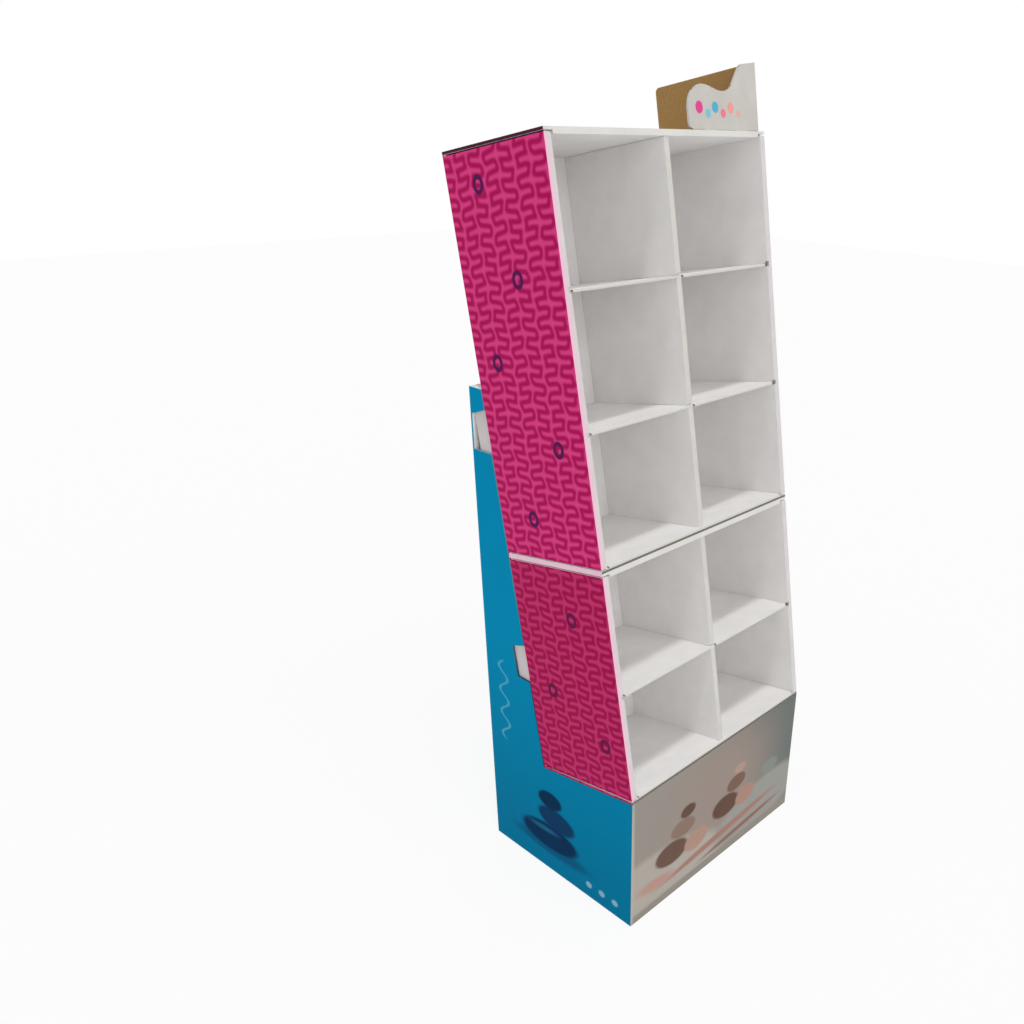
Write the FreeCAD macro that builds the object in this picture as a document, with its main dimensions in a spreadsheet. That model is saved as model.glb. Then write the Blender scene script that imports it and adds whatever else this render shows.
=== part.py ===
"""Cardboard display stand: a blue base box that holds two leaning shelf modules, with a corner sign on top.

Frame: millimetres, +Z up, the open front faces -Y, +X is the viewer's right.
The origin is on the floor, in the middle of the base's footprint.
Every board is corrugated card of one thickness, die-cut flat and then folded.
"""
import FreeCAD, Part
import math
import os
import Sketcher

DRIVING_SIZES = {
    # Outside sizes
    "stand_width": 600,         # outside width of the base and of the modules
    "module_depth": 280,        # front rim to outer back of a shelf module, square to the lean
    "front_height": 347,        # floor to the modules' bottom front edge
    "lean_angle": 10,           # degrees that the modules lean back
    "backrest_reach": 344,      # backrest above the joint between the modules, along the lean
    "ledge_depth": 37,          # flat ledge behind the backrest at the top of the base
    # Shelf rows, from the lowest up, measured along the lean
    "lower_row_one": 247,
    "lower_row_two": 264,
    "upper_row_one": 266,
    "upper_row_two": 249,
    "upper_row_three": 254,
    # Board and folds
    "board": 5,                 # thickness of the corrugated card
    "side_wall_gap": 5,         # hollow between the two layers of a rolled-over side wall
    "tuck_flap_height": 60,     # flaps of the floor and top that are tucked into that hollow
    "top_wall_gap": 1,          # hollow between the two layers of a rolled-over top wall
    "divider_gap": 3,           # hollow inside the folded divider
    "reveal_gap": 3,            # strip between a printed side and the floor or top, where the tuck flap shows
    "corner_relief": 6,         # die-cut relief where two rims meet
    "fit_gap": 0.3,             # clearance between pieces that slide together
    # Shelves
    "shelf_setback": 2,         # shelf's front edge behind the rims
    "shelf_nick": 6,            # corner cut off a shelf beside the rims
    "slot_mouth": 4,            # extra height of a shelf's slot at its mouth
    "slot_share": 150,          # depth of the slots that shelves slide into, from the front
    # Base
    "seat_gap": 1,              # base side's cut edge below the modules' bottom
    "rear_gap": 3,              # base side's cut edge behind the modules' back
    "notch_rise": 258,          # middle of a notch above the bottom of its module
    "notch_mouth": 92,          # notch height at the cut edge
    "notch_tip": 76,            # notch height at its closed end
    "notch_reach": 43,          # notch depth from the modules' back
    "lip_height": 60,           # seat's front flap, down behind the front panel
    "front_flap_reach": 290,    # front of the base to the slit between the two bottom flaps
    "flap_gap": 2,              # width of that slit
    "rib_spacing": 200,         # between the two ribs under the seat
    "cross_wall_place": 150,    # front of the base to the cross wall
    "slot_room": 0.5,           # slot width over the board that crosses it
    # Corner sign
    "sign_inset": 10,           # sign's folded edge in from the stand's right side
    "sign_setback": 6,          # sign's front face behind the top's front edge
    "sign_lift": 1.5,           # slit under the sign's bottom edge
    "sign_height": 125,
    "sign_side_depth": 266,     # side wing, front to back
    "sign_corner_radius": 10,
    "sign_front_width": 216,
    "lobe_height": 80,
    "lobe_radius": 44,
    "lobe_foot_radius": 14,
    "valley_place": 110,        # lowest point of the wave, from the folded edge
    "valley_height": 70,
    "valley_radius": 44,
    "rise_angle": 50,           # steepness of the wave's rise to the sign's top
    "shoulder_place": 36,       # where the rise meets the top, from the folded edge
    "shoulder_height": 121,
    "shoulder_radius": 26,
    "tongue_width": 30,
    "front_tongue_one": 40,     # tongues under the front wing, from the folded edge
    "front_tongue_two": 140,
    "side_tongue_one": 50,      # tongues under the side wing, from the front face
    "side_tongue_two": 190,
}


class Size:
    """A size that knows its number and the expression that binds it to the sheet."""

    def __init__(self, number, expression):
        self.number = float(number)
        self.expression = expression

    def _join(self, other, sign, number):
        return Size(number, "(%s %s %s)" % (self.expression, sign, as_size(other).expression))

    def __add__(self, other):
        return self._join(other, "+", self.number + as_size(other).number)

    def __sub__(self, other):
        return self._join(other, "-", self.number - as_size(other).number)

    def __mul__(self, other):
        return self._join(other, "*", self.number * as_size(other).number)

    def __truediv__(self, other):
        return self._join(other, "/", self.number / as_size(other).number)


def as_size(value):
    return value if isinstance(value, Size) else Size(value, repr(float(value)))


def sine(angle):
    return Size(math.sin(math.radians(angle.number)), "sin(%s)" % angle.expression)


def cosine(angle):
    return Size(math.cos(math.radians(angle.number)), "cos(%s)" % angle.expression)


doc = FreeCAD.newDocument("display_stand")


def make_sheet():
    """The driving sizes as a sheet of plain numbers, each with an alias."""
    sheet = doc.addObject("Spreadsheet::Sheet", "Sizes")
    for row, (alias, number) in enumerate(DRIVING_SIZES.items(), start=1):
        sheet.set("A%d" % row, alias)
        sheet.set("B%d" % row, str(number))
        sheet.setAlias("B%d" % row, alias)
    doc.recompute()
    return {alias: Size(sheet.get(alias), "Sizes." + alias) for alias in DRIVING_SIZES}


size = make_sheet()

# Sizes worked out from the driving ones
width = size["stand_width"]
depth = size["module_depth"]
board = size["board"]
fit = size["fit_gap"]
lean_sine = sine(size["lean_angle"])
lean_cosine = cosine(size["lean_angle"])
lean_slope = lean_sine / lean_cosine
side_wall = board * 2 + size["side_wall_gap"]
top_wall = board * 2 + size["top_wall_gap"]
floor_wall = board * 2
divider_wall = board * 2 + size["divider_gap"]
reveal = board + size["reveal_gap"]
lower_height = size["lower_row_one"] + size["lower_row_two"]
upper_height = size["upper_row_one"] + size["upper_row_two"] + size["upper_row_three"]
lower_shelves = [size["lower_row_one"]]
upper_shelves = [size["upper_row_one"], size["upper_row_one"] + size["upper_row_two"]]
middle = width / 2
inner_back = depth - board


def in_base(back, up):
    """A point of the leaning modules, as the base's own distance back and height."""
    return (back * lean_cosine + up * lean_sine,
            size["front_height"] - back * lean_sine + up * lean_cosine)


backrest_top = lower_height + size["backrest_reach"]
rear_line = depth + size["rear_gap"]
back_height = in_base(rear_line, backrest_top)[1]
ledge_front = in_base(rear_line, backrest_top)[0]
base_depth = ledge_front + size["ledge_depth"]
base_inner_back = base_depth - board


def at_height(back, height):
    """Where a line along the lean, at a given distance back, crosses a level."""
    up = (height - size["front_height"] + back * lean_sine) / lean_cosine
    return (back * lean_cosine + up * lean_sine, height)


def new_body(label):
    body = doc.addObject("PartDesign::Body", label)
    body.Label = label
    return body


def place(body, back, height, angle=None):
    """Moves a body from its own corner to its place on the stand, leaning by the angle."""
    body.Placement.Rotation = FreeCAD.Rotation(FreeCAD.Vector(-1, 0, 0), 0)
    if angle is not None:
        body.Placement = FreeCAD.Placement(FreeCAD.Vector(), FreeCAD.Rotation(FreeCAD.Vector(-1, 0, 0), 1))
        body.setExpression("Placement.Rotation.Angle", angle.expression)
    body.setExpression("Placement.Base.x", (width / -2).expression)
    body.setExpression("Placement.Base.y", (back - base_depth / 2).expression)
    body.setExpression("Placement.Base.z", as_size(height).expression)


def bind(sketch, kind, geometry, point, length):
    """Sets one coordinate of a sketch point, measured from the sketch's origin."""
    if length.number == 0:
        axis = -2 if kind == "DistanceX" else -1
        sketch.addConstraint(Sketcher.Constraint("PointOnObject", geometry, point, axis))
        return
    index = sketch.addConstraint(Sketcher.Constraint(kind, -1, 1, geometry, point, length.number))
    sketch.setExpression("Constraints[%d]" % index, length.expression)


def arc_between(start, end, radius, turn):
    """An arc from start to end; turn is 1 for anticlockwise and -1 for clockwise."""
    chord = end - start
    half = chord.Length / 2
    rise = math.sqrt(max(radius * radius - half * half, 0.0))
    side = FreeCAD.Vector(-chord.y, chord.x, 0).normalize()
    centre = start + chord / 2 + side * rise * turn
    first, last = (start, end) if turn > 0 else (end, start)
    angles = [math.atan2(point.y - centre.y, point.x - centre.x) for point in (first, last)]
    circle = Part.Circle(centre, FreeCAD.Vector(0, 0, 1), radius)
    return Part.ArcOfCircle(circle, angles[0], angles[1])


def draw_loop(sketch, corners):
    """Draws a closed outline. A corner is (x, y), or (x, y, radius, turn) if an arc leaves it."""
    points = [FreeCAD.Vector(as_size(corner[0]).number, as_size(corner[1]).number, 0) for corner in corners]
    ends = []
    for number, corner in enumerate(corners):
        start, end = points[number], points[(number + 1) % len(points)]
        if len(corner) == 4:
            radius, turn = corner[2], corner[3]
            geometry = sketch.addGeometry(arc_between(start, end, radius.number, turn), False)
            index = sketch.addConstraint(Sketcher.Constraint("Radius", geometry, radius.number))
            sketch.setExpression("Constraints[%d]" % index, radius.expression)
            ends.append((geometry, 1, 2) if turn > 0 else (geometry, 2, 1))
        else:
            geometry = sketch.addGeometry(Part.LineSegment(start, end), False)
            ends.append((geometry, 1, 2))
    for number, corner in enumerate(corners):
        geometry, start, _ = ends[number]
        before, _, before_end = ends[number - 1]
        sketch.addConstraint(Sketcher.Constraint("Coincident", before, before_end, geometry, start))
        bind(sketch, "DistanceX", geometry, start, as_size(corner[0]))
        bind(sketch, "DistanceY", geometry, start, as_size(corner[1]))


def rectangle(left, low, right, high):
    return [(left, low), (right, low), (right, high), (left, high)]


def add_sketch(body, name, plane, level, loops):
    """A sketch on one of the body's own planes, moved along that plane's axis to a level."""
    sketch = body.newObject("Sketcher::SketchObject", name + "_outline")
    support = next(item for item in body.Origin.OriginFeatures if item.Role == plane + "_Plane")
    sketch.AttachmentSupport = [(support, "")]
    sketch.MapMode = "FlatFace"
    offset = as_size(level) * (-1 if plane == "XZ" else 1)
    sketch.setExpression("AttachmentOffset.Base.z", offset.expression)
    for corners in loops:
        draw_loop(sketch, corners)
    return sketch


def add_board(body, name, plane, level, thickness, *loops):
    """Adds a flat board: its outline, padded by its thickness towards the axis's positive side."""
    sketch = add_sketch(body, name, plane, level, loops)
    pad = body.newObject("PartDesign::Pad", name)
    pad.Profile = sketch
    pad.Reversed = plane == "XZ"
    pad.setExpression("Length", as_size(thickness).expression)
    return pad


def cut_board(body, name, plane, level, thickness, *loops):
    """Cuts an outline out of the body, towards the axis's positive side."""
    sketch = add_sketch(body, name, plane, level, loops)
    doc.recompute()
    before = body.Shape.Volume
    pocket = body.newObject("PartDesign::Pocket", name)
    pocket.Profile = sketch
    pocket.Reversed = plane != "XZ"
    pocket.setExpression("Length", as_size(thickness).expression)
    doc.recompute()
    if not body.Shape.Volume < before:
        raise RuntimeError("%s cuts nothing from %s" % (name, body.Label))
    return pocket


def make_base_sleeve():
    """The printed box: four panels folded round, open where the modules lean in, with bottom flaps."""
    body = new_body("base_sleeve")
    gap_low = size["seat_gap"]
    front_top = size["front_height"] - board * lean_slope - fit
    corner = in_base(rear_line, gap_low * -1)
    front_corner = (0, size["front_height"] - gap_low / lean_cosine)
    side = [(0, 0), (base_depth, 0), (base_depth, back_height), (ledge_front, back_height), corner, front_corner]
    add_board(body, "back_panel", "XZ", base_inner_back, board, rectangle(0, 0, width, back_height))
    add_board(body, "left_panel", "YZ", 0, board, side)
    add_board(body, "right_panel", "YZ", width - board, board, side)
    add_board(body, "front_panel", "XZ", 0, board, rectangle(0, 0, width, front_top))
    flap_end = size["front_flap_reach"]
    add_board(body, "front_flap", "XY", 0, board, rectangle(board, board, width - board, flap_end))
    add_board(body, "back_flap", "XY", 0, board,
              rectangle(board, flap_end + size["flap_gap"], width - board, base_inner_back))
    cut_board(body, "lower_notches", "YZ", 0, width, notch_outline(size["notch_rise"], False))
    cut_board(body, "upper_notches", "YZ", 0, width, notch_outline(lower_height + size["notch_rise"], True))
    place(body, as_size(0), 0)
    return body


def notch_outline(rise, to_the_fold):
    """A notch in the leaning edge: wide at its mouth, and ended in the board or at the back fold."""
    mouth, tip = size["notch_mouth"] / 2, size["notch_tip"] / 2
    start = depth - board
    reach = depth + size["notch_reach"]
    low_tip, high_tip = in_base(reach, rise - tip), in_base(reach, rise + tip)
    if to_the_fold:
        low_tip, high_tip = (base_inner_back, low_tip[1]), (base_inner_back, high_tip[1])
    return [in_base(start, rise - mouth), low_tip, high_tip, in_base(start, rise + mouth)]


def tab_window(rise):
    """The window that a lock tab passes through, square to the lean, with room round the tab."""
    half = size["notch_mouth"] / 2 + fit
    corners = [(depth - fit, rise - half), (depth + board * 2, rise - half),
               (depth + board * 2, rise + half), (depth - fit, rise + half)]
    return [in_base(back, up) for back, up in corners]


def make_base_cradle():
    """The white inner sheet: front lip, seat, backrest and ledge in one strip, with windows for the lock tabs."""
    body = new_body("base_cradle")
    left = board + fit
    lip_front = board + fit
    seat_front = size["front_height"] - lip_front * lean_slope
    under = in_base(depth + board, board * -1)
    rest_foot = in_base(depth, as_size(0))
    ledge_back = base_inner_back - fit
    lip_back = lip_front + board
    seat_under = size["front_height"] - lip_back * lean_slope - board / lean_cosine
    strip = [(lip_front, seat_front - size["lip_height"]), (lip_back, seat_front - size["lip_height"]),
             (lip_back, seat_under), under, at_height(depth + board, back_height - board),
             (ledge_back, back_height - board), (ledge_back, back_height), at_height(depth, back_height),
             rest_foot, (lip_front, seat_front)]
    add_board(body, "folded_strip", "YZ", left, width - left * 2, strip)
    windows = [tab_window(size["notch_rise"]), tab_window(lower_height + size["notch_rise"])]
    for name, tab_place in (("left", board + fit), ("right", width - board * 2 - fit)):
        cut_board(body, name + "_tab_windows", "YZ", tab_place - fit, board + fit * 2, *windows)
    place(body, as_size(0), 0)
    return body


def rib_top(back):
    """Underside of the seat at a distance back from the front."""
    return size["front_height"] - back * lean_slope - board / lean_cosine


def make_rib(label, middle_line):
    """An upright board under the seat, front to back, with a slot from its top for the cross wall."""
    body = new_body(label)
    front = board * 2 + fit * 2
    under = in_base(depth + board, board * -1)
    back = base_inner_back - fit
    outline = [(front, board), (back, board), (back, under[1]), under, (front, rib_top(front))]
    add_board(body, "rib", "YZ", middle_line - board / 2, board, outline)
    slot_front = size["cross_wall_place"] - size["slot_room"] / 2
    slot_back = size["cross_wall_place"] + board + size["slot_room"] / 2
    middle_height = size["front_height"] / 2
    cut_board(body, "cross_slot", "YZ", middle_line - board, board * 2,
              rectangle(slot_front, middle_height, slot_back, size["front_height"]))
    place(body, as_size(0), 0)
    return body


def make_cross_wall(rib_lines):
    """The upright board across the base, with a slot from its foot for each rib."""
    body = new_body("base_cross_wall")
    left = board + fit
    place_back = size["cross_wall_place"]
    top = rib_top(place_back + board)
    add_board(body, "wall", "XZ", place_back, board, rectangle(left, board, width - left, top))
    half_slot = (board + size["slot_room"]) / 2
    middle_height = size["front_height"] / 2
    slots = [rectangle(line - half_slot, 0, line + half_slot, middle_height) for line in rib_lines]
    cut_board(body, "rib_slots", "XZ", place_back - board, board * 3, *slots)
    place(body, as_size(0), 0)
    return body


def module_start(up):
    """Placement of a leaning piece whose own corner lies at a height along the lean."""
    return up * lean_sine, size["front_height"] + up * lean_cosine


def shelf_slot(rise, reach):
    """A slot from the front for a shelf board, a little higher at its mouth."""
    mouth_end, mouth_top = size["corner_relief"], rise + fit + size["slot_mouth"]
    return [(0, rise - board - fit), (reach, rise - board - fit), (reach, rise + fit),
            (mouth_end, rise + fit), (mouth_end, mouth_top), (0, mouth_top)]


def make_tray(label, height, shelves, start, tongues=()):
    """A module's folded tray: back, single floor, and sides and top rolled over at the front.

    Flaps of the floor and top are tucked into the hollow of each side wall. A lock tab comes out of
    that hollow through the back and lies in the base's notch.
    """
    body = new_body(label)
    relief = size["corner_relief"]
    add_board(body, "back_panel", "XZ", inner_back, board, rectangle(0, 0, width, height))
    add_board(body, "floor_panel", "XY", 0, board, rectangle(0, 0, width, inner_back))
    add_board(body, "top_panel", "XY", height - board, board, rectangle(0, 0, width, inner_back))
    rim_left, rim_right = side_wall + relief, width - side_wall - relief
    add_board(body, "top_rim", "XZ", 0, board, rectangle(rim_left, height - top_wall, rim_right, height - board))
    lining_left, lining_right = side_wall + fit, width - side_wall - fit
    top_lining = [(rim_left, 0), (rim_right, 0), (rim_right, relief), (lining_right, relief),
                  (lining_right, inner_back - fit), (lining_left, inner_back - fit),
                  (lining_left, relief), (rim_left, relief)]
    add_board(body, "top_lining", "XY", height - top_wall, board, top_lining)
    side = rectangle(0, reveal, inner_back, height - reveal)
    side_rim = rectangle(0, reveal, board, height - reveal)
    lining_back = inner_back - fit
    root, tip, rise = size["notch_mouth"] / 2 - fit, size["notch_tip"] / 2 - fit, size["notch_rise"]
    tab_end = depth + size["notch_reach"] - fit
    tab_start = inner_back - size["notch_reach"]
    tab = [(tab_start, rise - root), (depth, rise - root), (tab_end, rise - tip),
           (tab_end, rise + tip), (depth, rise + root), (tab_start, rise + root)]
    lining = [(0, floor_wall + fit), (relief, floor_wall + fit), (relief, board + fit),
              (lining_back, board + fit), (lining_back, height - board - fit), (relief, height - board - fit),
              (relief, height - top_wall - fit), (0, height - top_wall - fit)]
    tab_slot = rectangle(inner_back, rise - root - fit, depth, rise + root + fit)
    flap_end = size["tuck_flap_height"]
    low_flap = rectangle(board + fit, board, lining_back, flap_end)
    high_flap = rectangle(board + fit, height - flap_end, lining_back, height - board)
    pressed = size["side_wall_gap"] - fit * 2
    for name, outer, hollow, inner, flap, tab_place in (
            ("left", as_size(0), board, side_wall - board, board + fit, board + fit),
            ("right", width - board, width - side_wall, width - side_wall,
             width - side_wall + board + fit, width - board * 2 - fit)):
        add_board(body, name + "_side", "YZ", outer, board, side)
        add_board(body, name + "_rim", "YZ", hollow, side_wall - board, side_rim)
        cut_board(body, name + "_tab_slot", "YZ", tab_place - fit, board + fit * 2, tab_slot)
        add_board(body, name + "_lining", "YZ", inner, board, lining)
        add_board(body, name + "_lock_tab", "YZ", tab_place, board, tab)
        add_board(body, name + "_low_flap", "YZ", flap, pressed, low_flap)
        add_board(body, name + "_high_flap", "YZ", flap, pressed, high_flap)
        slots = [shelf_slot(shelf, size["slot_share"] + fit) for shelf in shelves]
        cut_board(body, name + "_shelf_slots", "YZ", inner, board, *slots)
    if tongues:
        cut_board(body, "tongue_slots", "XY", height - board, board, *tongues)
    place(body, start[0], start[1], size["lean_angle"])
    return body


def make_floor_pad(label, start):
    """A loose board on a tray's floor, with its front corners relieved."""
    body = new_body(label)
    relief = size["corner_relief"]
    left, right = side_wall + fit, width - side_wall - fit
    outline = [(left + relief, 0), (right - relief, 0), (right - relief, relief), (right, relief),
               (right, inner_back - fit), (left, inner_back - fit), (left, relief), (left + relief, relief)]
    add_board(body, "pad", "XY", board, board, outline)
    place(body, start[0], start[1], size["lean_angle"])
    return body


def make_divider(label, height, shelves, start):
    """The folded upright between the two columns, with a slot from the front for each shelf."""
    body = new_body(label)
    left, right = middle - divider_wall / 2, middle + divider_wall / 2
    front, back = size["shelf_setback"], inner_back - fit
    fold = [(left, front), (right, front), (right, back), (right - board, back), (right - board, front + board),
            (left + board, front + board), (left + board, back), (left, back)]
    tall = height - top_wall - floor_wall - fit
    add_board(body, "folded_leaves", "XY", floor_wall, tall, fold)
    slots = [shelf_slot(shelf, depth / 2 + fit) for shelf in shelves]
    cut_board(body, "shelf_slots", "YZ", left - board, divider_wall + board * 2, *slots)
    place(body, start[0], start[1], size["lean_angle"])
    return body


def make_shelf(label, rise, start):
    """A shelf board: ears in the side slots, nicked front corners, and a slot from behind for the divider."""
    body = new_body(label)
    front, nick = size["shelf_setback"], size["shelf_nick"]
    ear, wall = side_wall - board + fit, side_wall + fit
    share, back = size["slot_share"], inner_back - fit
    slot_left = middle - divider_wall / 2 - fit
    slot_right = middle + divider_wall / 2 + fit
    outline = [(wall + nick, front), (slot_right, front), (slot_right, front + nick),
               (slot_right + size["corner_relief"], front + nick), (slot_right + size["corner_relief"], front),
               (width - wall - nick, front), (width - wall - nick, front + nick),
               (width - ear, front + nick), (width - ear, share), (width - wall, share), (width - wall, back),
               (slot_right, back), (slot_right, depth / 2), (slot_left, depth / 2), (slot_left, back),
               (wall, back), (wall, share), (ear, share), (ear, front + nick), (wall + nick, front + nick)]
    add_board(body, "shelf_board", "XY", rise - board, board, outline)
    place(body, start[0], start[1], size["lean_angle"])
    return body


def tongue_boxes(room):
    """Plan rectangles of the sign's tongues, or of their slots with some room."""
    fold = width - size["sign_inset"]
    front = size["sign_setback"]
    long = size["tongue_width"]
    boxes = []
    for along in (size["front_tongue_one"], size["front_tongue_two"]):
        boxes.append(rectangle(fold - along - long - room, front - room, fold - along + room, front + board + room))
    for along in (size["side_tongue_one"], size["side_tongue_two"]):
        back = front + along
        boxes.append(rectangle(fold - board - room, back - room, fold + room, back + long + room))
    return boxes


def make_corner_sign(start):
    """One sheet folded at the right front corner: a wavy front wing and a plain side wing."""
    body = new_body("corner_sign")
    fold = width - size["sign_inset"]
    front = size["sign_setback"]
    tall, lobe, valley = size["sign_height"], size["lobe_height"], size["valley_height"]
    lobe_radius, foot_radius = size["lobe_radius"], size["lobe_foot_radius"]
    valley_radius, shoulder_radius = size["valley_radius"], size["shoulder_radius"]
    rise_sine, rise_cosine = sine(size["rise_angle"]), cosine(size["rise_angle"])
    lift = size["sign_lift"]
    left = fold - size["sign_front_width"]
    crest = left + lobe_radius
    low = fold - size["valley_place"]
    drop, run = lobe - valley, low - crest
    wave_radius = (run * run + drop * drop) / (drop * 4)
    rise_foot = (low + valley_radius * rise_sine, valley + valley_radius - valley_radius * rise_cosine)
    shoulder = (fold - size["shoulder_place"], size["shoulder_height"])
    rise_top = (shoulder[0] - shoulder_radius * rise_sine,
                shoulder[1] - shoulder_radius + shoulder_radius * rise_cosine)
    front_wing = [(left + foot_radius, lift), (fold, lift), (fold, tall), shoulder + (shoulder_radius, 1),
                  rise_top, rise_foot + (valley_radius, -1), (low, valley, wave_radius, -1),
                  ((crest + low) / 2, (lobe + valley) / 2, wave_radius, 1), (crest, lobe, lobe_radius, 1),
                  (left, lobe - lobe_radius), (left, lift + foot_radius, foot_radius, 1)]
    add_board(body, "front_wing", "XZ", front, board, front_wing)
    back, round_corner = front + size["sign_side_depth"], size["sign_corner_radius"]
    side_wing = [(front, lift), (back, lift), (back, tall - round_corner, round_corner, 1),
                 (back - round_corner, tall), (front, tall)]
    add_board(body, "side_wing", "YZ", fold - board, board, side_wing)
    for number, box in enumerate(tongue_boxes(as_size(0)), start=1):
        add_board(body, "tongue_%d" % number, "XY", board * -1, board + lift, box)
    place(body, start[0], start[1], size["lean_angle"])
    return body


lower_start = module_start(as_size(0))
upper_start = module_start(lower_height)
sign_start = module_start(lower_height + upper_height)
rib_lines = [middle - size["rib_spacing"] / 2, middle + size["rib_spacing"] / 2]

pieces = [
    make_base_sleeve(),
    make_base_cradle(),
    make_rib("base_rib_left", rib_lines[0]),
    make_rib("base_rib_right", rib_lines[1]),
    make_cross_wall(rib_lines),
    make_tray("lower_tray", lower_height, lower_shelves, lower_start),
    make_floor_pad("lower_floor_pad", lower_start),
    make_divider("lower_divider", lower_height, lower_shelves, lower_start),
    make_shelf("lower_shelf", lower_shelves[0], lower_start),
    make_tray("upper_tray", upper_height, upper_shelves, upper_start, tongue_boxes(fit)),
    make_floor_pad("upper_floor_pad", upper_start),
    make_divider("upper_divider", upper_height, upper_shelves, upper_start),
    make_shelf("upper_shelf_low", upper_shelves[0], upper_start),
    make_shelf("upper_shelf_high", upper_shelves[1], upper_start),
    make_corner_sign(sign_start),
]

doc.recompute()
for item in doc.Objects:
    if "Invalid" in item.State or "Error" in item.State:
        raise RuntimeError("%s did not build: %s" % (item.Label, item.State))

os.makedirs("parts", exist_ok=True)
for piece in pieces:
    if piece.Shape.isNull() or not piece.Shape.isValid():
        raise RuntimeError("%s has no valid shape" % piece.Label)
    piece.Shape.exportStep("parts/%s.step" % piece.Label)
    box = piece.Shape.BoundBox
    print("%-18s solids %d, volume %.0f cm3, x %.1f..%.1f y %.1f..%.1f z %.1f..%.1f" % (
        piece.Label, len(piece.Shape.Solids), piece.Shape.Volume / 1000,
        box.XMin, box.XMax, box.YMin, box.YMax, box.ZMin, box.ZMax))
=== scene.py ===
"""The looks of a cardboard display stand: printed base, two leaning shelf trays and a corner sign."""
import math

import bmesh
import bpy
from mathutils import Euler, Matrix, Vector


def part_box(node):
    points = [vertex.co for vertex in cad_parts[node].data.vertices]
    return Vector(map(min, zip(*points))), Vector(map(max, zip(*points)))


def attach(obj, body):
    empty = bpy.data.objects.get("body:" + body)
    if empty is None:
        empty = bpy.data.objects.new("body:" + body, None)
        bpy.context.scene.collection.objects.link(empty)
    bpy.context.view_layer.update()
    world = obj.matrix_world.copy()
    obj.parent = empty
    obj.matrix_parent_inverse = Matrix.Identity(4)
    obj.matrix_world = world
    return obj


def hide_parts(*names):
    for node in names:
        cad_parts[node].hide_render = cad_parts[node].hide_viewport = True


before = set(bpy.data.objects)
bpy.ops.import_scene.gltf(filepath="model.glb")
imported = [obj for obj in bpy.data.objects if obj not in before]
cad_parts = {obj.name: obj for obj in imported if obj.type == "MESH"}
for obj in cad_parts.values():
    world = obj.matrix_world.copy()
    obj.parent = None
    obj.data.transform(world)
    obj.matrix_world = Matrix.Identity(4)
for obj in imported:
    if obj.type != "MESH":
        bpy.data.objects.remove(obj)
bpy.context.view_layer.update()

# Real sizes in metres, as the frame has them
BOARD = 0.005
LEAN = math.radians(10)
FRONT_EDGE_HEIGHT = 0.347
LOWER_HEIGHT = 0.511
UPPER_HEIGHT = 0.769
REVEAL = 0.008
TUCK_FLAP = 0.060
FLUTE_PITCH = 0.0079
BASE_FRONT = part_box("base_sleeve")[0].y
BASE_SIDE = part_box("base_sleeve")[1].x

# The trays' own directions, measured from the middle of the lower tray's front edge
AXES = (0, 1, 2)
ACROSS, BACK, UP = AXES
TRAY_START = Vector((0, BASE_FRONT, FRONT_EDGE_HEIGHT))
TO_TRAY = Matrix.Rotation(LEAN, 3, "X")
FROM_TRAY = Matrix.Rotation(-LEAN, 3, "X")

# Limits in metres that tell one face of a card from another
SAME_THICKNESS = 0.0002
ON_SURFACE = 0.0005
SLACK = 0.001
ONE_BOARD_IN = 0.006
SIDE_FOLD = 0.012
RIM_WIDTH = 0.020
FLOOR_END = 0.1
TAB_START = 0.200
BASE_FLAP_TOP = 0.02
BASE_BACK = 0.46
FRONT_TOP_REACH = 0.05
DIVIDER_FRONT = 0.01
SIGN_FRONT = 0.008
SIGN_SIDE = 0.2895

# Crushed edges and the clean-up of flat faces
EDGE_RADIUS = 0.0008
EDGE_ANGLE = math.radians(50)
MERGE_DISTANCE = 0.00002
FLAT_ANGLE = math.radians(0.5)

# Where the photograph was taken from, in metres and degrees, and its lens
CAMERA_PLACE = (-1.42470, -1.27935, 1.61525)
CAMERA_TURN = (62.97208, -1.58135, -48.07425)
CAMERA_LENS = 32.737
CAMERA_SENSOR = 36
CAMERA_SHIFT = (-0.14695, 0.08500)

# Light: how bright the room is, and how much of the floor is plain white to the camera
ROOM_LIGHT = 0.46
FLOOR_WHITENESS = 0.86


def linear(hex_colour):
    """An sRGB hex value as a linear colour with alpha."""
    parts = [int(hex_colour[place:place + 2], 16) / 255 for place in (1, 3, 5)]
    parts = [part / 12.92 if part <= 0.04045 else ((part + 0.055) / 1.055) ** 2.4 for part in parts]
    return (*parts, 1.0)


def add(tree, kind, links=None, **settings):
    """Adds a node, sets its properties, then its inputs: a value is set and a socket is linked."""
    node = tree.nodes.new(kind)
    for name, value in settings.items():
        setattr(node, name, value)
    for name, value in (links or {}).items():
        if isinstance(value, bpy.types.NodeSocket):
            tree.links.new(value, node.inputs[name])
        else:
            node.inputs[name].default_value = value
    return node


def new_material(name):
    """An empty material and its node tree."""
    material = bpy.data.materials.new(name)
    material.use_nodes = True
    material.node_tree.nodes.clear()
    return material, material.node_tree


def finish_material(tree, colour, roughness, bump_height, bump_distance=0.0001, gloss=0.12):
    """Closes a material with a dull paper surface and a fine bump."""
    bump = add(tree, "ShaderNodeBump", {"Height": bump_height, "Strength": 0.6, "Distance": bump_distance})
    surface = add(tree, "ShaderNodeBsdfPrincipled", {
        "Base Color": colour, "Roughness": roughness, "IOR": 1.5, "Specular IOR Level": gloss,
        "Normal": bump.outputs["Normal"]})
    add(tree, "ShaderNodeOutputMaterial", {"Surface": surface.outputs["BSDF"]})


def number(tree, operation, first, second=0.0, third=0.0):
    """The result socket of one Math node."""
    return add(tree, "ShaderNodeMath", {0: first, 1: second, 2: third}, operation=operation).outputs[0]


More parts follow.
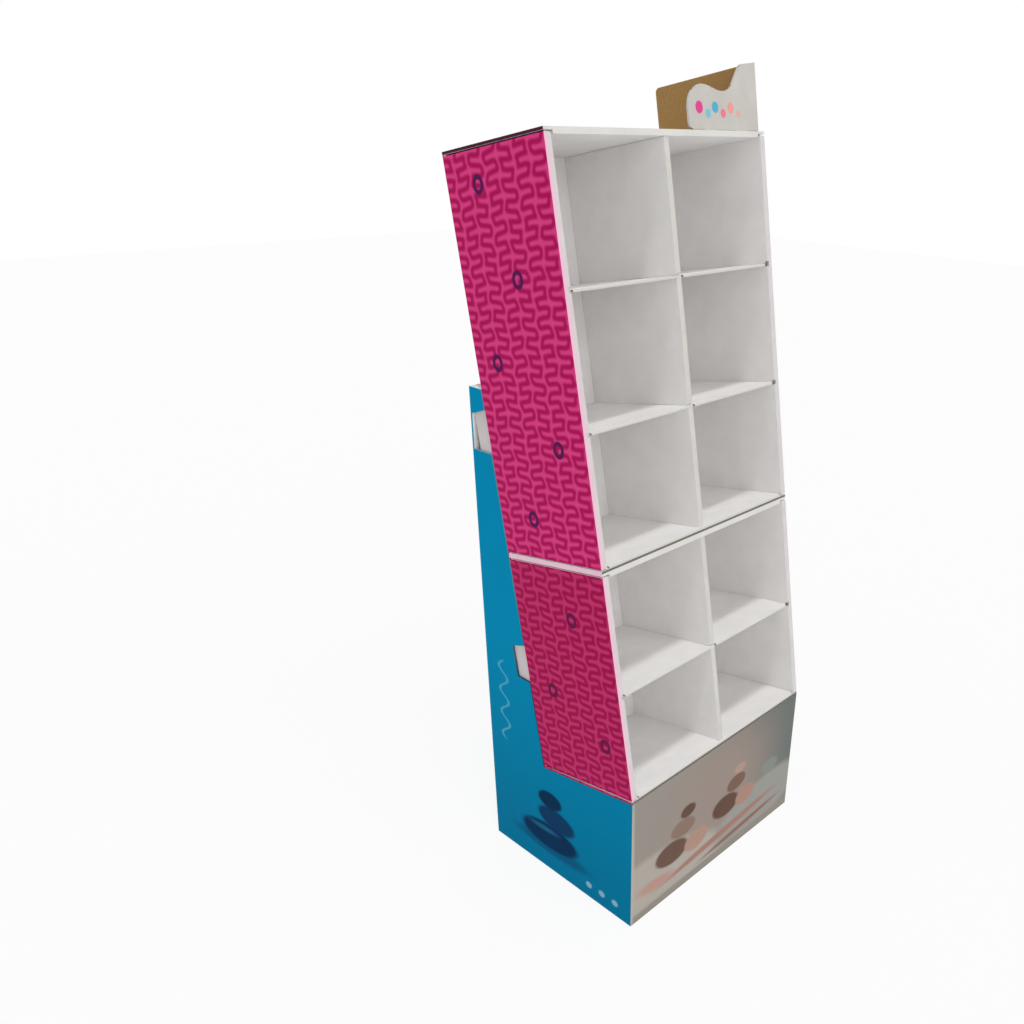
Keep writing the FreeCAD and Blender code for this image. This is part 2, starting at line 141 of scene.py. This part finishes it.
def ramp(tree, value, start, end, **settings):
    """A value stretched so that start gives 0 and end gives 1, and held at those."""
    return add(tree, "ShaderNodeMapRange", {"Value": value, "From Min": start, "From Max": end},
               **settings).outputs["Result"]


def ripple(tree, distance, length):
    """A sine wave that repeats after the given length."""
    return number(tree, "SINE", number(tree, "MULTIPLY", distance, 2 * math.pi / length))


def blend(tree, mask, under, over):
    """The colour under a mask mixed with the colour over it."""
    return add(tree, "ShaderNodeMix", {0: mask, 6: under, 7: over}, data_type="RGBA").outputs[2]


def glaze(tree, mask, strength, under, ink):
    """A colour with an ink laid over it by a mask, at part strength."""
    return blend(tree, number(tree, "MULTIPLY", mask, strength), under, linear(ink))


def object_place(tree):
    """Object coordinates, in metres."""
    return add(tree, "ShaderNodeTexCoord").outputs["Object"]


def leaning_place(tree):
    """Object coordinates turned into the trays' own: across, back and up along the lean."""
    return add(tree, "ShaderNodeMapping", {
        "Vector": object_place(tree), "Location": -(TO_TRAY @ TRAY_START),
        "Rotation": (LEAN, 0, 0)}).outputs["Vector"]


def split(tree, place):
    """The X, Y and Z sockets of a place."""
    return add(tree, "ShaderNodeSeparateXYZ", {"Vector": place}).outputs


def board_place(tree):
    """Place on the board: along it in X, and across or through it in Y."""
    return split(tree, add(tree, "ShaderNodeUVMap").outputs["UV"])


def mottle(tree, size, detail=3.0):
    """Cloudy unevenness with patches of about the given size in metres."""
    return add(tree, "ShaderNodeTexNoise", {
        "Vector": object_place(tree), "Scale": 1 / size, "Detail": detail,
        "Roughness": 0.6}).outputs["Fac"]


def clouded(tree, size, dark, light):
    """A colour that drifts between two shades, in patches of about the given size."""
    clouds = ramp(tree, mottle(tree, size), 0.35, 0.65)
    return blend(tree, clouds, linear(dark), linear(light))


def paper_relief(tree):
    """Height of a liner: faint ridges over the flutes, with fine fibres on top."""
    washboard = ripple(tree, board_place(tree)["X"], FLUTE_PITCH)
    fibres = mottle(tree, 0.0015, 2.0)
    return number(tree, "MULTIPLY_ADD", fibres, 0.7, number(tree, "MULTIPLY", washboard, 0.5))


def white_liner_material(name, dark, light):
    """Bleached white-top liner: a matt off-white with faint clouding and washboard."""
    material, tree = new_material(name)
    finish_material(tree, clouded(tree, 0.06, dark, light), 0.62, paper_relief(tree))
    return material


def rim_liner_material():
    """The same liner where the printed left side rolls over: the ink fades out just round the fold, and the
    liner's grey is painted shade.
    """
    ink_reach = 0.012
    material, tree = new_material("rim_liner")
    across = split(tree, object_place(tree))["X"]
    near_fold = ramp(tree, across, ink_reach - BASE_SIDE, -BASE_SIDE)
    colour = blend(tree, near_fold, clouded(tree, 0.05, "#CCC6C7", "#D3CDCE"), linear("#EBB9D0"))
    finish_material(tree, colour, 0.6, paper_relief(tree))
    return material


def kraft_liner_material():
    """Unbleached kraft liner: brown, with darker long fibres and flecks."""
    material, tree = new_material("kraft_liner")
    flecks = ramp(tree, mottle(tree, 0.002, 4.0), 0.4, 0.7)
    colour = blend(tree, flecks, linear("#B38D5B"), linear("#9A7844"))
    finish_material(tree, colour, 0.8, paper_relief(tree))
    return material


def cut_edge_material(name, across_flutes, hollow_shade="#6E6961", paper="#CFCBC2"):
    """A die-cut edge: two liners with the wavy medium between them, or without it along the flutes; the
    hollows between them are painted shade.
    """
    liner_start, wave_height, half_medium = 0.40, 0.36, 0.13
    material, tree = new_material(name)
    place = board_place(tree)
    through = place["Y"]
    from_middle = number(tree, "ABSOLUTE", number(tree, "SUBTRACT", through, 0.5))
    board = number(tree, "GREATER_THAN", from_middle, liner_start)
    if across_flutes:
        flutes = ripple(tree, place["X"], FLUTE_PITCH)
        wave = number(tree, "MULTIPLY_ADD", flutes, wave_height, 0.5)
        off_wave = number(tree, "ABSOLUTE", number(tree, "SUBTRACT", through, wave))
        board = number(tree, "MAXIMUM", board, number(tree, "LESS_THAN", off_wave, half_medium))
    # The hollows between the liners take a darker colour: painted shade.
    colour = blend(tree, board, linear(hollow_shade), linear(paper))
    finish_material(tree, colour, 0.85, board, 0.0004)
    return material


def meander(tree):
    """A key meander: pale fingers enter each column from either side by turns, and a path snakes past."""
    column_width, row_height = 0.042, 0.0165
    half_line, half_gap, softness, rounding = 0.0037, 0.0023, 0.0030, 0.013
    sway_length, sway_reach = 0.047, 0.0030
    rock_length, rock_reach = 0.075, 0.0018
    finger_end = 0.14
    place = split(tree, leaning_place(tree))
    back = number(tree, "MULTIPLY_ADD", ripple(tree, place["Z"], sway_length), sway_reach, place["Y"])
    across = number(tree, "DIVIDE", back, column_width)
    column = number(tree, "FLOOR", across)
    from_middle = number(tree, "SUBTRACT", number(tree, "SUBTRACT", across, column), 0.5)
    height = number(tree, "MULTIPLY_ADD", ripple(tree, place["Y"], rock_length), rock_reach, place["Z"])
    up = number(tree, "DIVIDE", height, row_height)
    row = number(tree, "ROUND", up)
    off_row = number(tree, "MULTIPLY", number(tree, "SUBTRACT", up, row), row_height)
    next_column = number(tree, "ADD", column, 1.0)
    uneven = number(tree, "MULTIPLY", number(tree, "MULTIPLY", column, next_column), 0.5)
    turn = number(tree, "MULTIPLY", number(tree, "ADD", row, uneven), math.pi)
    inward = number(tree, "MULTIPLY", from_middle, number(tree, "COSINE", turn))
    outside = number(tree, "MAXIMUM", number(tree, "SUBTRACT", inward, finger_end), 0.0)
    past_end = number(tree, "MULTIPLY", outside, column_width)
    reach = number(tree, "ADD", number(tree, "MULTIPLY", past_end, past_end),
                   number(tree, "MULTIPLY", off_row, off_row))
    finger = number(tree, "SUBTRACT", number(tree, "SQRT", reach), half_line)
    edge = number(tree, "SUBTRACT", 0.5, number(tree, "ABSOLUTE", from_middle))
    gap = number(tree, "SUBTRACT", number(tree, "MULTIPLY", edge, column_width), half_gap)
    pale = number(tree, "SMOOTH_MIN", finger, gap, rounding)
    return ramp(tree, pale, softness, -softness, interpolation_type="SMOOTHSTEP")


def spot(tree, place, centre, radii, tilt, soft):
    """Mask of a tilted ellipse: 1 inside and 0 outside, with a soft rim. The tilt is in degrees."""
    local = add(tree, "ShaderNodeMapping", {
        "Vector": place, "Location": centre, "Rotation": [math.radians(angle) for angle in tilt],
        "Scale": radii}, vector_type="TEXTURE")
    reach = add(tree, "ShaderNodeVectorMath", {0: local.outputs["Vector"]}, operation="LENGTH")
    return ramp(tree, reach.outputs["Value"], 1 + soft, 1 - soft, interpolation_type="SMOOTHSTEP")


def side_spot(tree, place, side, centre, radii, tilt, soft):
    """A spot on a printed side: its centre and radii are given back and up, its tilt in degrees."""
    through_board = 0.02
    return spot(tree, place, (side * BASE_SIDE, *centre), (through_board, *radii), (tilt, 0, 0), soft)


def magenta_print_material():
    """Flexo print in magenta with a lighter meander and small rings, and redder on the lower tray."""
    ring_centres = ((0.060, 0.120), (0.205, 0.215), (0.110, 0.395), (0.180, 0.600), (0.075, 0.745),
                    (0.215, 0.905), (0.120, 1.050), (0.190, 1.215))
    material, tree = new_material("magenta_print")
    colour = blend(tree, meander(tree), linear("#B80F5D"), linear("#EA458D"))
    place = leaning_place(tree)
    for centre in ring_centres:
        for side in (-1, 1):
            disc = side_spot(tree, place, side, centre, (0.0150, 0.0170), 0, 0.10)
            hole = side_spot(tree, place, side, centre, (0.0070, 0.0085), 0, 0.18)
            colour = blend(tree, number(tree, "SUBTRACT", disc, hole), colour, linear("#4E1A58"))
    on_lower_tray = number(tree, "LESS_THAN", split(tree, place)["Z"], LOWER_HEIGHT)
    colour = glaze(tree, on_lower_tray, 0.34, colour, "#8A0022")
    colour = glaze(tree, mottle(tree, 0.05), 0.14, colour, "#8E1248")
    finish_material(tree, colour, 0.48, paper_relief(tree), gloss=0.04)
    return material


def pale_wave(tree, parts):
    """Mask of the upright wavy line on the blue sides."""
    line_back, line_swing, wave_length = 0.176, 0.014, 0.062
    middle_height, half_length = 0.42, 0.112
    swing = ripple(tree, parts["Z"], wave_length)
    line = number(tree, "MULTIPLY_ADD", swing, line_swing, line_back)
    off_line = number(tree, "ABSOLUTE", number(tree, "SUBTRACT", parts["Y"], line))
    off_middle = number(tree, "ABSOLUTE", number(tree, "SUBTRACT", parts["Z"], middle_height))
    return number(tree, "MULTIPLY", ramp(tree, off_line, 0.0055, 0.0025),
                  ramp(tree, off_middle, half_length, half_length - 0.008))


def blue_print_material():
    """Flat cyan-blue print with a stack of dark pebbles, a pale wave and three dots: simple shapes only."""
    material, tree = new_material("blue_print")
    place = object_place(tree)
    parts = split(tree, place)
    colour = blend(tree, ramp(tree, parts["Z"], 0.1, 0.6), linear("#007DA6"), linear("#0093C2"))
    # Each pebble: back, up, half length, half height, tilt, ink and softness
    pebbles = (
        (0.030, 0.068, 0.125, 0.020, 0, "#0A5F88", 0.35),
        (0.035, 0.100, 0.096, 0.036, -2, "#0B2F55", 0.14),
        (0.055, 0.116, 0.046, 0.007, -3, "#23648C", 0.60),
        (0.010, 0.160, 0.062, 0.030, 4, "#113A62", 0.14),
        (0.030, 0.210, 0.040, 0.024, -3, "#0B2A4E", 0.16),
    )
    for back, up, long, tall, tilt, ink, soft in pebbles:
        for side in (-1, 1):
            mask = side_spot(tree, place, side, (back, up), (long, tall), tilt, soft)
            colour = blend(tree, mask, colour, linear(ink))
    for back in (-0.098, -0.140, -0.182):
        for side in (-1, 1):
            dot = side_spot(tree, place, side, (back, 0.036), (0.0095, 0.0085), 0, 0.25)
            colour = glaze(tree, dot, 0.6, colour, "#B9DCE8")
    colour = glaze(tree, pale_wave(tree, parts), 0.55, colour, "#6FC3DC")
    colour = glaze(tree, mottle(tree, 0.08), 0.12, colour, "#006D95")
    finish_material(tree, colour, 0.42, paper_relief(tree), gloss=0.01)
    return material


def front_print_material():
    """Soft print on the base's front: pale fields and rounded pebbles in brown, peach and sage, and a
    painted highlight along the left fold.
    """
    through_board = 0.02
    material, tree = new_material("front_print")
    place = object_place(tree)
    colour = linear("#A29B93")
    # Each field or pebble: across, up, half width, half height, tilt, ink and softness
    fields = (
        (0.26, 0.26, 0.25, 0.20, 0, "#6F7875", 0.50),
        (0.02, 0.22, 0.17, 0.16, 0, "#A6968D", 0.80),
        (-0.20, 0.055, 0.24, 0.105, 8, "#BDB6AC", 0.12),
        (0.17, 0.080, 0.18, 0.070, -8, "#A5A59F", 0.16),
        (-0.165, 0.128, 0.056, 0.032, 6, "#6F4F41", 0.12),
        (-0.078, 0.116, 0.042, 0.028, -4, "#BF9789", 0.12),
        (-0.128, 0.180, 0.042, 0.024, 5, "#94786B", 0.14),
        (-0.112, 0.220, 0.026, 0.017, 0, "#664638", 0.16),
        (0.030, 0.150, 0.050, 0.031, 4, "#664537", 0.12),
        (0.108, 0.142, 0.038, 0.026, -6, "#BA9082", 0.12),
        (0.068, 0.200, 0.036, 0.022, -4, "#80604F", 0.14),
        (0.080, 0.236, 0.022, 0.014, 0, "#BF9D90", 0.16),
        (0.205, 0.175, 0.036, 0.020, 0, "#8F958F", 0.20),
        (0.02, 0.072, 0.215, 0.010, -5, "#B28276", 0.30),
        (0.10, 0.046, 0.150, 0.007, -4, "#9A6C62", 0.35),
        (-0.22, 0.072, 0.060, 0.016, 6, "#C79C90", 0.45),
        (0.00, 0.000, 0.60, 0.024, 0, "#9C958C", 0.25),
        # The last row is a lighter strip along the left fold: a painted highlight of the fold's edge.
        (-0.30, 0.17, 0.008, 0.30, 0, "#C4BDB4", 0.50),
    )
    for across, up, wide, tall, tilt, ink, soft in fields:
        mask = spot(tree, place, (across, BASE_FRONT, up), (wide, through_board, tall), (0, tilt, 0), soft)
        colour = blend(tree, mask, colour, linear(ink))
    colour = glaze(tree, mottle(tree, 0.05), 0.15, colour, "#8C8A84")
    colour = blend(tree, 0.20, colour, linear("#1C1B1A"))
    finish_material(tree, colour, 0.45, paper_relief(tree), gloss=0.06)
    return material


def sign_print_material():
    """Liner of the corner sign, its white darkened to a grey as painted shade, with a few plain coloured
    dots where a shop's own mark would go.
    """
    dot_back, through_board = 0.006, 0.003
    sign_foot = LOWER_HEIGHT + UPPER_HEIGHT
    # Each dot: across, up from the tray's top, radius and ink
    dots = (
        (0.106, 0.040, 0.011, "#D8448C"),
        (0.132, 0.030, 0.008, "#7DB9CE"),
        (0.154, 0.041, 0.010, "#4FA9C6"),
        (0.178, 0.031, 0.008, "#E2788A"),
        (0.202, 0.041, 0.010, "#E39A90"),
        (0.226, 0.031, 0.007, "#D8A79E"),
    )
    material, tree = new_material("sign_print")
    place = leaning_place(tree)
    # The sign's white is darkened to a grey: painted shade.
    colour = clouded(tree, 0.06, "#BDB9B4", "#C4C0BB")
    for across, up, radius, ink in dots:
        centre = (across, dot_back, sign_foot + up)
        mask = spot(tree, place, centre, (radius, through_board, radius), (0, 0, 0), 0.08)
        colour = blend(tree, mask, colour, linear(ink))
    finish_material(tree, colour, 0.55, paper_relief(tree))
    return material


def fold_gap_shadow_material():
    """Side edge of the top fold: the board's raw edge in deep maroon, a painted shadow of the gap at the
    fold.
    """
    material, tree = new_material("fold_gap_painted_shadow")
    colour = blend(tree, mottle(tree, 0.01), linear("#3C1226"), linear("#5A1C38"))
    finish_material(tree, colour, 0.7, paper_relief(tree))
    return material


def side_edge_painted_shade_material():
    """Cut edge of the base's printed sides: dark low down as a painted shadow of the gap beside the tray,
    paler and greyer higher up.
    """
    material, tree = new_material("side_cut_edge_painted_shade")
    rising = ramp(tree, split(tree, object_place(tree))["Z"], 0.5, 0.75)
    colour = blend(tree, rising, linear("#26435C"), linear("#93A3B4"))
    colour = glaze(tree, mottle(tree, 0.004), 0.3, colour, "#3C4650")
    finish_material(tree, colour, 0.8, paper_relief(tree))
    return material


WHITE = white_liner_material("white_liner", "#EAE8E7", "#EFEDEC")
# Greyer copy of the white liner for the lock tabs: painted shade.
TAB = white_liner_material("tab_liner_painted_shade", "#D6CFD0", "#DCD5D6")
# Greyer copy of the white liner for the dividers' folded fronts: painted shade.
FOLD = white_liner_material("fold_liner", "#C8C5C0", "#CECBC6")
# Greyer copy of the white liner for the trays' front folds: painted shade.
FOLD_LIGHT = white_liner_material("front_fold_liner", "#D3D1CD", "#D8D6D2")
SEAM = white_liner_material("seam_liner", "#F6CEDF", "#F9D6E5")
# Deep maroon painted shadow for the gap at the top fold.
FOLD_GAP_SHADOW = fold_gap_shadow_material()
# Cut edge with a painted shadow low down, where it meets the tray.
SIDE_EDGE_PAINTED_SHADE = side_edge_painted_shade_material()
# Rim liner: pink ink at the fold on a grey that is painted shade.
RIM = rim_liner_material()
KRAFT = kraft_liner_material()
WAVE_EDGE = cut_edge_material("cut_edge_across_flutes", True)
PLAIN_EDGE = cut_edge_material("cut_edge_along_flutes", False, "#CECBC7", "#D8D6D2")
# A cut edge darkened all over: painted shade.
EDGE_IN_PAINTED_SHADE = cut_edge_material("cut_edge_painted_shade", True, "#5E5A53", "#97928A")
MAGENTA = magenta_print_material()
BLUE = blue_print_material()
FRONT = front_print_material()
SIGN = sign_print_material()


def card_coordinates(point, leaning):
    """A point as across, back and up, measured in the trays' own lean or straight."""
    if not leaning:
        return Vector((point.x, point.y - BASE_FRONT, point.z))
    return TO_TRAY @ (point - TRAY_START)


def part_faces(shape, height):
    """Cuts a leaning card's faces at a height, where one flat face carries two finishes."""
    bmesh.ops.bisect_plane(shape, geom=shape.verts[:] + shape.edges[:] + shape.faces[:],
                           plane_co=TRAY_START + FROM_TRAY @ Vector((0, 0, height)),
                           plane_no=FROM_TRAY @ Vector((0, 0, 1)))


def lay_paper(face, paper_map, leaning, flutes, choose):
    """Lays the board's own coordinates on a face, in metres, and returns the face's finish.

    On a cut edge the second coordinate goes through the board, from 0 at one liner to 1 at the other.
    """
    corners = [card_coordinates(loop.vert.co, leaning) for loop in face.loops]
    normal = (TO_TRAY @ face.normal) if leaning else face.normal.copy()
    low = [min(corner[axis] for corner in corners) for axis in AXES]
    high = [max(corner[axis] for corner in corners) for axis in AXES]
    middle = Vector([(low[axis] + high[axis]) / 2 for axis in AXES])
    extent = [high[axis] - low[axis] for axis in AXES]
    facing = max(AXES, key=lambda axis: abs(normal[axis]))
    thin = [axis for axis in AXES if axis != facing and abs(extent[axis] - BOARD) < SAME_THICKNESS]
    if thin:
        second = thin[0]
        along = next(axis for axis in AXES if axis not in (facing, second))
        finish = PLAIN_EDGE if along == flutes else WAVE_EDGE
        start, size = low[second], BOARD
    else:
        along = BACK if facing == ACROSS or (facing == UP and flutes == ACROSS) else ACROSS
        second = next(axis for axis in AXES if axis not in (facing, along))
        finish = WHITE
        start, size = 0.0, 1.0
    for loop, corner in zip(face.loops, corners):
        loop[paper_map].uv = (corner[along], (corner[second] - start) / size)
    return choose(finish, normal, middle, facing, extent)


def dress(node, leaning, flutes, choose, cuts=()):
    """Replaces a card node by a merged copy with slightly crushed edges and a finish for each face."""
    piece = bpy.data.objects.new(node + "_card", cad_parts[node].data.copy())
    bpy.context.scene.collection.objects.link(piece)
    shape = bmesh.new()
    shape.from_mesh(piece.data)
    bmesh.ops.remove_doubles(shape, verts=shape.verts, dist=MERGE_DISTANCE)
    bmesh.ops.dissolve_limit(shape, angle_limit=FLAT_ANGLE, verts=shape.verts, edges=shape.edges)
    for height in cuts:
        part_faces(shape, height)
    finishes = []
    paper_map = shape.loops.layers.uv.verify()
    for face in shape.faces:
        finish = lay_paper(face, paper_map, leaning, flutes, choose)
        if finish not in finishes:
            finishes.append(finish)
        face.material_index = finishes.index(finish)
    piece.data.materials.clear()
    shape.to_mesh(piece.data)
    shape.free()
    for finish in finishes:
        piece.data.materials.append(finish)
    crushed = piece.modifiers.new("crushed_edges", "BEVEL")
    crushed.width = EDGE_RADIUS
    crushed.segments = 2
    crushed.limit_method = "ANGLE"
    crushed.angle_limit = EDGE_ANGLE
    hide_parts(node)
    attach(piece, "root")


def tray_finish(start, height):
    """Chooser for the tray at a height: printed sides, tinted rim, raw floor edge and lock tabs. The rim's
    grey, the front folds, the floor edge and the tabs carry painted shade, and the top fold's gap a painted
    shadow.
    """
    def seam(up):
        """Finish of the folds that show at the side, at the tray's floor or at its top; the upper tray's
        top fold is a painted shadow.
        """
        if start > 0:
            # On the upper tray, the top fold's gap is a painted shadow in deep maroon.
            return FOLD_GAP_SHADOW if up > FLOOR_END else SEAM
        return SEAM if up > FLOOR_END else MAGENTA

    def choose(finish, normal, middle, facing, extent):
        up = middle.z - start
        from_side = BASE_SIDE - abs(middle.x)
        if facing == ACROSS:
            if from_side < ON_SURFACE:
                return MAGENTA if BOARD < up < height - BOARD else seam(up)
            # Lock tabs get a greyer liner: painted shade.
            if middle.y > TAB_START:
                return TAB
            if from_side < SIDE_FOLD and min(up, height - up) < TUCK_FLAP:
                return seam(up)
        if facing == UP and from_side < ONE_BOARD_IN:
            return seam(up)
        if facing == BACK and normal.y < 0 and middle.y < SLACK:
            # The rim's grey away from the ink is painted shade.
            if from_side < RIM_WIDTH:
                return RIM if REVEAL - SLACK < up < height - REVEAL + SLACK else WHITE
            # The other front folds are a greyer liner: painted shade.
            if up > FLOOR_END:
                return FOLD_LIGHT
            # The floor's front edge is a cut edge in painted shade.
            if abs(extent[UP] - BOARD) < SAME_THICKNESS:
                return EDGE_IN_PAINTED_SHADE
        return finish
    return choose


def sleeve_finish(finish, normal, middle, facing, extent):
    """Chooser for the base: blue sides and back, a print in front and a cut edge in painted shade above it.
    """
    if facing == ACROSS and abs(middle.x) > BASE_SIDE - ON_SURFACE:
        return BLUE
    if facing == BACK and normal.y < 0 and middle.y < SLACK:
        return FRONT
    if facing == BACK and normal.y > 0 and middle.y > BASE_BACK:
        return BLUE
    # The front panel's top edge is a cut edge in painted shade.
    near_front_top = abs(middle.z - FRONT_EDGE_HEIGHT) < FRONT_TOP_REACH
    if facing == UP and normal.z > 0 and middle.y < ONE_BOARD_IN and near_front_top:
        return EDGE_IN_PAINTED_SHADE
    # The side panels' cut edges: darker low down as a painted shadow of the gap beside the tray.
    side_edge = abs(extent[ACROSS] - BOARD) < SAME_THICKNESS
    if facing != ACROSS and side_edge and middle.z > BASE_FLAP_TOP:
        return SIDE_EDGE_PAINTED_SHADE
    return finish


def sign_finish(finish, normal, middle, facing, extent):
    """Chooser for the sign: white outside and brown kraft inside."""
    if finish is not WHITE:
        return finish
    front_outside = facing == BACK and normal.y < 0 and middle.y < SIGN_FRONT
    side_outside = facing == ACROSS and normal.x > 0 and middle.x > SIGN_SIDE
    return SIGN if front_outside or side_outside else KRAFT


def plain_finish(finish, normal, middle, facing, extent):
    """Chooser for a card that is white with plain cut edges."""
    return finish


def divider_finish(finish, normal, middle, facing, extent):
    """Chooser for a divider, whose folded front is a greyer liner than the shelves' edges: painted shade.
    """
    return FOLD if facing == BACK and normal.y < 0 and middle.y < DIVIDER_FRONT else finish


dress("base_sleeve", False, UP, sleeve_finish)
dress("base_cradle", True, UP, plain_finish)
for hidden_board in ("base_rib_left", "base_rib_right", "base_cross_wall"):
    dress(hidden_board, False, UP, plain_finish)
dress("lower_tray", True, UP, tray_finish(0, LOWER_HEIGHT), (BOARD, LOWER_HEIGHT - BOARD))
dress("upper_tray", True, UP, tray_finish(LOWER_HEIGHT, UPPER_HEIGHT),
      (LOWER_HEIGHT + BOARD, LOWER_HEIGHT + UPPER_HEIGHT - BOARD))
for upright in ("lower_divider", "upper_divider"):
    dress(upright, True, UP, divider_finish)
for pad in ("lower_floor_pad", "upper_floor_pad"):
    dress(pad, True, ACROSS, plain_finish)
for shelf in ("lower_shelf", "upper_shelf_low", "upper_shelf_high"):
    dress(shelf, True, ACROSS, plain_finish)
dress("corner_sign", True, UP, sign_finish)


def pale_floor():
    """A wide pale floor that is white to the camera and still takes the stand's shadow."""
    shape = bmesh.new()
    bmesh.ops.create_grid(shape, x_segments=1, y_segments=1, size=12)
    mesh = bpy.data.meshes.new("floor")
    shape.to_mesh(mesh)
    shape.free()
    floor = bpy.data.objects.new("floor", mesh)
    bpy.context.scene.collection.objects.link(floor)
    material, tree = new_material("pale_floor")
    camera_ray = add(tree, "ShaderNodeLightPath").outputs["Is Camera Ray"]
    seen = number(tree, "MULTIPLY", camera_ray, FLOOR_WHITENESS)
    vinyl = add(tree, "ShaderNodeBsdfPrincipled", {"Base Color": linear("#F4F4F4"), "Roughness": 0.9})
    white = add(tree, "ShaderNodeEmission", {"Color": (1, 1, 1, 1), "Strength": 1.0})
    surface = add(tree, "ShaderNodeMixShader", {0: seen, 1: vinyl.outputs[0], 2: white.outputs[0]})
    add(tree, "ShaderNodeOutputMaterial", {"Surface": surface.outputs[0]})
    mesh.materials.append(material)


def add_sun(name, strength, spread, direction):
    """A sun that shines along a direction. A wide spread, in degrees, makes its shadows soft."""
    lamp_data = bpy.data.lights.new(name, "SUN")
    lamp_data.energy = strength
    lamp_data.angle = math.radians(spread)
    lamp = bpy.data.objects.new(name, lamp_data)
    lamp.rotation_euler = Vector(direction).to_track_quat("-Z", "Y").to_euler()
    bpy.context.scene.collection.objects.link(lamp)


def light_the_stage():
    """A ceiling light with clear shadows and a wide soft light from the front, in an even pale room."""
    add_sun("ceiling_light", 1.0, 7, (0.13, 0.155, -1))
    add_sun("window_light", 1.5, 80, (0.20, 1.0, -0.45))
    world = bpy.data.worlds.new("pale_room")
    world.use_nodes = True
    tree = world.node_tree
    tree.nodes.clear()
    rays = add(tree, "ShaderNodeLightPath").outputs
    seen_through = number(tree, "MAXIMUM", rays["Is Glossy Ray"], rays["Is Transmission Ray"])
    seen = number(tree, "MAXIMUM", rays["Is Camera Ray"], seen_through)
    room = add(tree, "ShaderNodeBackground", {"Color": linear("#F2F2F0"), "Strength": ROOM_LIGHT})
    backdrop = add(tree, "ShaderNodeBackground", {"Color": (1, 1, 1, 1), "Strength": 1.0})
    mixed = add(tree, "ShaderNodeMixShader", {0: seen, 1: room.outputs[0], 2: backdrop.outputs[0]})
    add(tree, "ShaderNodeOutputWorld", {"Surface": mixed.outputs[0]})
    bpy.context.scene.world = world


def place_camera():
    """The photograph's view: from the left and in front, level with the top tray."""
    camera_data = bpy.data.cameras.new("camera")
    camera_data.sensor_width = CAMERA_SENSOR
    camera_data.lens = CAMERA_LENS
    camera_data.shift_x, camera_data.shift_y = CAMERA_SHIFT
    camera = bpy.data.objects.new("camera", camera_data)
    camera.location = CAMERA_PLACE
    camera.rotation_euler = Euler([math.radians(angle) for angle in CAMERA_TURN], "XYZ")
    bpy.context.scene.collection.objects.link(camera)
    bpy.context.scene.camera = camera


pale_floor()
light_the_stage()
place_camera()
bpy.context.scene.view_settings.view_transform = "Standard"
